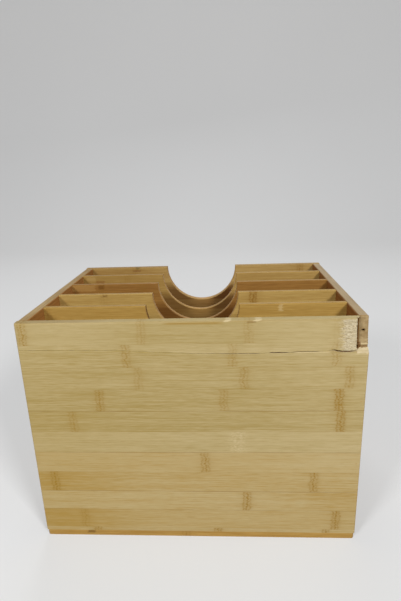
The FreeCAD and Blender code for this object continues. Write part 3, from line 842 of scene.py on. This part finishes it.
def tear_depth(x, z):
    """How deep the torn skin lies below the face: streaks along the fibres."""
    past = x - along_line(tear_border, TOP - z) - fibre_end(z)
    if past <= 0:
        return 0.0
    streak = SKIN_DEPTH + roughness(x, z, SKIN_STREAKS)
    return min(past / SKIN_EDGE, 1.0) * max(streak, LEAST_DEPTH)


def broken_end(y, z):
    """Where the strip ends: farther back towards its rear face, with uneven fibres."""
    inward = y - FRONT
    end = END_PLACE + END_LEAN * (TOP - z) - END_SLANT * inward + roughness(y, z, END_FIBRES)
    end = min(end, STRIP_END + FIBRE_REACH)
    if inward > TONGUE_DEPTH and z > TOP - TONGUE_HEIGHT:
        end += min((inward - TONGUE_DEPTH) / TONGUE_SLOPE, 1.0) * (REMAINDER_START - TONGUE_GAP - end)
    return end


def spread(start, end, step):
    """Places from start to end, about a step apart, both ends included."""
    count = max(1, round(abs(end - start) / step))
    return [start + (end - start) * index / count for index in range(count + 1)]


def column(y, low, high, count):
    """Points on a face at y, evenly from low to high."""
    return [(y, low + (high - low) * share / count) for share in range(count + 1)]


def loft(name, rings, torn_face, materials, node):
    """A closed piece through rings of points that run round the board, from left to right."""
    mesh = bmesh.new()
    rows = [[mesh.verts.new(Vector(point) * MM) for point in ring] for ring in rings]
    for near, far in zip(rows, rows[1:]):
        for index in range(len(near)):
            following = (index + 1) % len(near)
            mesh.faces.new((near[index], near[following], far[following], far[index]))
    mesh.faces.new(rows[0])
    mesh.faces.new(rows[-1])
    bmesh.ops.recalc_face_normals(mesh, faces=mesh.faces)
    for face in mesh.faces:
        face.smooth = True
        centre = face.calc_center_median() / MM
        face.material_index = 1 if torn_face(centre, face.normal) else 0
    data = bpy.data.meshes.new(name)
    mesh.to_mesh(data)
    mesh.free()
    data.set_sharp_from_angle(angle=math.radians(SHARP_ANGLE))
    for material in materials:
        data.materials.append(material)
    piece = bpy.data.objects.new(name, data)
    bpy.context.scene.collection.objects.link(piece)
    if node:
        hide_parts(node)
    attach(piece, "root")


def sound_wood(node):
    """The material that a node was dressed in."""
    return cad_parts[node].data.materials[0]


def end_places():
    """Places along the board close enough for its rounded left end."""
    return [-HALF_WIDTH + gap for gap in (0.0, 0.2, 0.5, 0.9, EASING)]


def chipped(x):
    """How far the top front arris is broken away."""
    depth = 0.0
    for middle, half in CHIPS:
        share = abs(x - middle) / half
        if share < 1:
            depth = CHIP_DEPTH * (1 - share ** 2) * (1 + CHIP_UNEVEN * wave(x / 1.2, 5.5, 0.5))
    return depth


def top_lath_ring(x):
    """The outline of the top lath, from its lower front edge upwards and round."""
    chip = chipped(x)
    ring = [(FACE, z) for z in spread(STRIP_BOTTOM, TOP - EASING, 0.6)]
    for angle in spread(0.0, math.pi / 2, math.pi / 10)[1:]:
        bite = chip * math.sin(2 * angle)
        y = FACE + EASING * (1 - math.cos(angle)) + bite
        ring.append((y, TOP - EASING + EASING * math.sin(angle) - bite))
    ring += [(y, TOP) for y in spread(FACE + EASING, BACK - INNER_CHAMFER, 1.2)[1:]]
    ring += [(BACK, z) for z in spread(TOP - INNER_CHAMFER, STRIP_BOTTOM, 4.0)]
    ring += [(y, STRIP_BOTTOM) for y in spread(BACK, FACE, 2.0)[1:-1]]
    return [(x, y, z) for y, z in ring]


def cracked_ring(x):
    """The outline of the sliver between the crack and the top lath."""
    lip = TOP - along_line(crack, x)

    def low(y):
        return lip + abs(roughness(x, y, UPPER_LIP))

    ring = column(FACE, low(FACE), STRIP_BOTTOM, 12)
    ring += [(y, STRIP_BOTTOM) for y in spread(FACE, BACK, 2.4)[1:]]
    ring += reversed(column(BACK, low(BACK), STRIP_BOTTOM, 3)[:-1])
    ring += [(y, low(y)) for y in spread(BACK, FACE, 1.2)[1:-1]]
    return [(x, y, z) for y, z in ring]


def torn_ring(ring, reach):
    """Draws a ring near the broken end towards that end, and lays the torn skin open."""
    drawn = []
    for x, y, z in ring:
        x = TORN_START + reach * (broken_end(y, z) - TORN_START)
        if y < FACE + SKIN_LAYER:
            y = max(y, FACE + tear_depth(x, z))
        drawn.append((x, y, z))
    return drawn


def end_rings(ring):
    """Rings that close the broken end, smaller and smaller, with uneven fibre ends."""
    centre = Vector((0, 0, 0))
    for point in ring:
        centre += Vector(point) / len(ring)
    rings = []
    for share in END_SHARES:
        smaller = []
        for x, y, z in ring:
            y = centre.y + share * (y - centre.y)
            z = centre.z + share * (z - centre.z)
            smaller.append((broken_end(y, z) - END_RECESS, y, z))
        rings.append(smaller)
    return rings


def strip_piece(node, ring_at, steps, torn):
    """One of the two pieces of the broken strip."""
    rings = [rounded(ring_at(x)) for x in end_places() + steps]
    for reach in spread(0.0, 1.0, 1 / TORN_RINGS)[1:]:
        rings.append(torn_ring(ring_at(TORN_START + reach * TORN_LENGTH), reach))
    rings += end_rings(rings[-1])

    def torn_face(centre, normal):
        return centre.x > TORN_WOOD_FROM and (normal.x > 0.6 or normal.z < -0.5)

    loft(node + "_torn", rings, torn_face, (sound_wood(node), torn), node)


def lower_ring(x):
    """The outline of the lath under the crack, with the torn ledge at its right end."""
    lip = TOP - along_line(crack, x) - along_line(crack, x, 2)
    on_ledge = min(max((x - STRIP_END - LEDGE_GAP) / LEDGE_SLOPE, 0.0), 1.0)

    def high(y):
        torn = TOP - along_line(ledge, y - FRONT) + roughness(x, y, LEDGE_FIBRES)
        torn = min(torn, STRIP_BOTTOM)
        return (lip - abs(roughness(x, y, LOWER_LIP))) * (1 - on_ledge) + torn * on_ledge

    ring = column(FACE, LATH_BOTTOM, high(FACE), 6)
    ring += [(y, high(y)) for y in spread(FACE, BACK, 0.5)[1:]]
    ring += reversed(column(BACK, LATH_BOTTOM, high(BACK), 4)[:-1])
    ring += [(y, LATH_BOTTOM) for y in spread(BACK, FACE, 3.0)[1:-1]]
    return [(x, y, z) for y, z in ring]


def lower_piece(torn):
    """The lath under the crack."""
    node = "front_lath_02_lower"
    places = end_places() + spread(-162.0, TORN_START, 1.2) + spread(TORN_START + 0.6, 163.4, 0.5)
    places += [-x for x in reversed(end_places())]
    rings = [rounded(lower_ring(x)) for x in places]

    def torn_face(centre, normal):
        return centre.z > LEDGE_WOOD_FROM and normal.z > 0.25

    loft(node + "_torn", rings, torn_face, (sound_wood(node), torn), node)


def overhang(x, drop):
    """How far the remainder leans over its start, more and more towards its foot."""
    return drop / REMAINDER_BOTTOM * (HALF_WIDTH - x) / (HALF_WIDTH - REMAINDER_START)


def remainder_ring(x):
    """The outline of the layer of the missing piece that stays glued to the side board's end."""
    ring = []
    rounding = eased(x)
    lump = LUMP_HEIGHT * max(1 - abs(x - REMAINDER_START - LUMP_MIDDLE) / LUMP_HALF, 0.0)
    for drop in spread(REMAINDER_BOTTOM, REMAINDER_TOP, 0.65):
        thickness = along_line(remainder, drop)
        if drop > LUMP_FROM:
            thickness += lump
        y = min(BACK - thickness + roughness(x, drop, REMAINDER_FIBRES) + rounding, BACK - THINNEST)
        if abs(x - HOLE[0]) < HOLE_HALF_WIDTH and abs(drop - HOLE[1]) < HOLE_HALF_HEIGHT:
            y = BACK - THINNEST
        ring.append((x - overhang(x, drop), y, TOP - drop))
    for drop in (REMAINDER_TOP, REMAINDER_BOTTOM):
        ring.append((x - overhang(x, drop), BACK, TOP - drop))
    return ring


def remainder_piece(material):
    """What is left of the strip on the end of the right side board, round the open nail hole."""
    places = spread(REMAINDER_START, REMAINDER_RIGHT, 0.4)
    places += [HALF_WIDTH - gap for gap in (1.0, 0.6, 0.3, 0.1)]
    rings = [remainder_ring(x) for x in places]
    loft("torn_remainder", rings, lambda centre, normal: False, (material,), None)


def torn_bamboo():
    """Fresh broken bamboo: pale fibres with darker gaps, and painted shade on the broken end at the slit."""
    wood = Bamboo("bamboo_torn", X, Z, TORN_SEED, light=rgb(208, 193, 158), dark=rgb(180, 160, 118))
    wood.tone = 0.4
    # Painted shade on the broken end's inner part, in the slit beside the side board
    inner = wood.times(wood.step(wood.place[Y], FRONT + 0.3, FRONT + 1.8),
                       wood.step(wood.along, 153.6, 152.8))
    wood.add_stain(inner, rgb(128, 84, 32), 0.85)
    return wood.finish(TORN_BUMP)


# Patches on the remainder: the stripes across its foot, its left edge, dark with old glue and painted shade
# in the slit, its lump, and the nail hole, painted dark as its shade, with its tail and its halo
FOOT_STRIPE = (26.4, 0.5, 0.7)
FOOT_RANGE = (27.2, 27.8, 0.0, 0.8)
LEFT_EDGE = (REMAINDER_START, 0.4, 0.5)
LUMP_BAND = (REMAINDER_START + 1.0, 0.8, 1.0)
LUMP_RANGE = (23.5, 25.0)
HOLE_TAIL = ((HOLE[0] - 1.6, 0.6, 0.7), (HOLE[1] - 0.2, 0.15, 0.4))
HOLE_HALO = (2.4, 1.2)
HOLE_EDGE = (1.15, 0.8)


def glued_bamboo():
    """Torn fibres browned by old glue, in blotches, with painted shade in the slit and in the nail hole."""
    wood = Bamboo("bamboo_glued", X, Z, GLUED_SEED, light=rgb(172, 151, 112), dark=rgb(146, 122, 84))
    blotch = wood.noise(wood.point(wood.times(wood.along, 1 / 4), wood.times(wood.across, 1 / 5), 0.0))
    wood.tone = wood.step(blotch, 0.38, 0.62, 0.3, 0.7)
    drop = wood.drop()
    wood.add_stain(wood.near(drop, *FOOT_STRIPE), rgb(190, 171, 130))
    wood.add_stain(wood.step(drop, *FOOT_RANGE), rgb(140, 114, 78))
    # Old glue and painted shade darken the left edge, in the slit beside the strip's end
    wood.add_stain(wood.near(wood.along, *LEFT_EDGE), rgb(120, 84, 38), 0.9)
    lump = wood.times(wood.near(wood.along, *LUMP_BAND), wood.step(drop, *LUMP_RANGE))
    wood.add_stain(lump, rgb(112, 78, 44), 0.85)
    beside = wood.minus(wood.along, HOLE[0])
    below = wood.minus(drop, HOLE[1])
    radius = wood.math("SQRT", wood.plus(wood.times(beside, beside), wood.times(below, below)))
    wood.add_stain(wood.step(radius, *HOLE_HALO), rgb(120, 96, 58), 0.5)
    wood.add_stain(wood.patch(*HOLE_TAIL), rgb(80, 56, 22), 0.7)
    # The nail hole painted dark, standing in for its shade
    wood.add_stain(wood.step(radius, *HOLE_EDGE), rgb(40, 24, 6))
    return wood.finish(GLUED_BUMP)


torn_material = torn_bamboo()
remainder_piece(glued_bamboo())
top_lath_steps = spread(-160.0, 28.0, 4.0) + spread(29.0, 70.0, 0.8) + spread(73.0, 130.0, 4.0)
strip_piece("front_lath_01", top_lath_ring, top_lath_steps, torn_material)
strip_piece("front_lath_02_upper", cracked_ring, spread(-162.0, 131.0, 1.2), torn_material)
lower_piece(torn_material)


# Floor and backdrop in one curved sheet, in metres, how much it glows where it is seen, and its colours
FLOOR_HALF_WIDTH = 4.0
FLOOR_NEAR = -3.0
BEND_START = 1.6
BEND_RADIUS = 1.2
BEND_STEPS = 16
WALL_TOP = 4.0
FLOOR_GLOW = 0.5
FLOOR_LIT = rgb(142, 128, 112)
FLOOR_SEEN = rgb(178, 179, 180)
FLOOR_PALE = (rgb(206, 207, 208), rgb(212, 213, 214))


def seen_rays(tree):
    """1 for what the camera, a mirror or glass sees, and 0 for what lights the shelf."""
    ray = tree.add("LightPath").outputs
    mirrored = tree.math("MAXIMUM", ray["Is Glossy Ray"], ray["Is Transmission Ray"])
    return tree.math("MAXIMUM", ray["Is Camera Ray"], mirrored)


def floor_paper():
    """Matt paper, paler where it is seen than where it lights the shelf."""
    sheet = Tree(bpy.data.materials.new("floor_paper"))
    seen = seen_rays(sheet)
    paper = sheet.noise(sheet.add("TexCoord").outputs["Object"])
    sheet.feed(sheet.surface, {
        "Base Color": sheet.mix(seen, FLOOR_LIT, FLOOR_SEEN),
        "Emission Color": sheet.mix(paper, *FLOOR_PALE),
        "Emission Strength": sheet.times(seen, FLOOR_GLOW),
        "Roughness": 0.9,
    })
    return sheet.owner


def sweep_floor():
    """The pale sheet that the shelf stands on, which curves up behind it."""
    profile = [(FLOOR_NEAR, 0.0)]
    for step in range(BEND_STEPS + 1):
        angle = math.pi / 2 * step / BEND_STEPS
        profile.append((BEND_START + BEND_RADIUS * math.sin(angle), BEND_RADIUS * (1 - math.cos(angle))))
    profile.append((BEND_START + BEND_RADIUS, WALL_TOP))
    mesh = bmesh.new()
    rows = []
    for y, z in profile:
        rows.append([mesh.verts.new((x, y, z)) for x in (-FLOOR_HALF_WIDTH, FLOOR_HALF_WIDTH)])
    for near, far in zip(rows, rows[1:]):
        face = mesh.faces.new((near[0], near[1], far[1], far[0]))
        face.smooth = True
    data = bpy.data.meshes.new("floor")
    mesh.to_mesh(data)
    mesh.free()
    floor = bpy.data.objects.new("floor", data)
    bpy.context.scene.collection.objects.link(floor)
    floor.data.materials.append(floor_paper())


sweep_floor()

# The lamps, in metres and watts: the place of each, the point that it is turned to, its side and its power
lamps = {
    "right_lamp": ((1.3, -1.8, 1.6), (0.0, 0.0, 0.12), 0.5, 46.0),
    "left_lamp": ((-1.3, -1.8, 1.5), (0.0, 0.0, 0.12), 0.5, 31.0),
    "top_lamp": ((0.1, -0.3, 2.2), (0.0, 0.0, 0.1), 1.2, 1.5),
    "rear_lamp": ((-0.25, 1.5, 1.75), (0.0, 0.0, 0.1), 0.8, 12.0),
}

# The surround: how strong it is as a light and where it is seen, and its colour
WORLD_LIGHT = 0.14
WORLD_SEEN = 0.5
WORLD_COLOUR = (1.0, 0.97, 0.93, 1.0)


def area_light(name, place, aim, size, power):
    """A soft square lamp."""
    lamp = bpy.data.lights.new(name, "AREA")
    lamp.shape = "SQUARE"
    lamp.size = size
    lamp.energy = power
    thing = bpy.data.objects.new(name, lamp)
    thing.location = place
    thing.rotation_euler = (Vector(aim) - Vector(place)).to_track_quat("-Z", "Y").to_euler()
    bpy.context.scene.collection.objects.link(thing)


def studio_world():
    """Weak even light from all round, seen by the camera and in mirrors as a pale surround."""
    world = bpy.data.worlds.new("studio")
    sky = Tree(world, "Background")
    sky.feed(sky.surface, {
        "Color": WORLD_COLOUR,
        "Strength": sky.step(seen_rays(sky), 0.0, 1.0, WORLD_LIGHT, WORLD_SEEN),
    })
    bpy.context.scene.world = world


for name, (place, aim, size, power) in lamps.items():
    area_light(name, place, aim, size, power)
studio_world()

# The camera's place and turns, from the shelf's edges in the photograph
CAMERA_PLACE = (0.0358, -0.5024, 0.3812)
CAMERA_PITCH = 16.85
CAMERA_YAW = 3.58
CAMERA_ROLL = -2.07
FOCAL_PIXELS = 444.2
PHOTO_HEIGHT = 601
SENSOR_SIDE = 36.0

camera_data = bpy.data.cameras.new("camera")
camera_data.sensor_width = SENSOR_SIDE
camera_data.lens = FOCAL_PIXELS * SENSOR_SIDE / PHOTO_HEIGHT
camera = bpy.data.objects.new("camera", camera_data)
turn = (Matrix.Rotation(math.radians(CAMERA_YAW), 4, "Z")
        @ Matrix.Rotation(math.radians(90 - CAMERA_PITCH), 4, "X")
        @ Matrix.Rotation(math.radians(CAMERA_ROLL), 4, "Z"))
camera.matrix_world = Matrix.Translation(CAMERA_PLACE) @ turn
bpy.context.scene.collection.objects.link(camera)
bpy.context.scene.camera = camera
bpy.context.scene.view_settings.view_transform = "Standard"
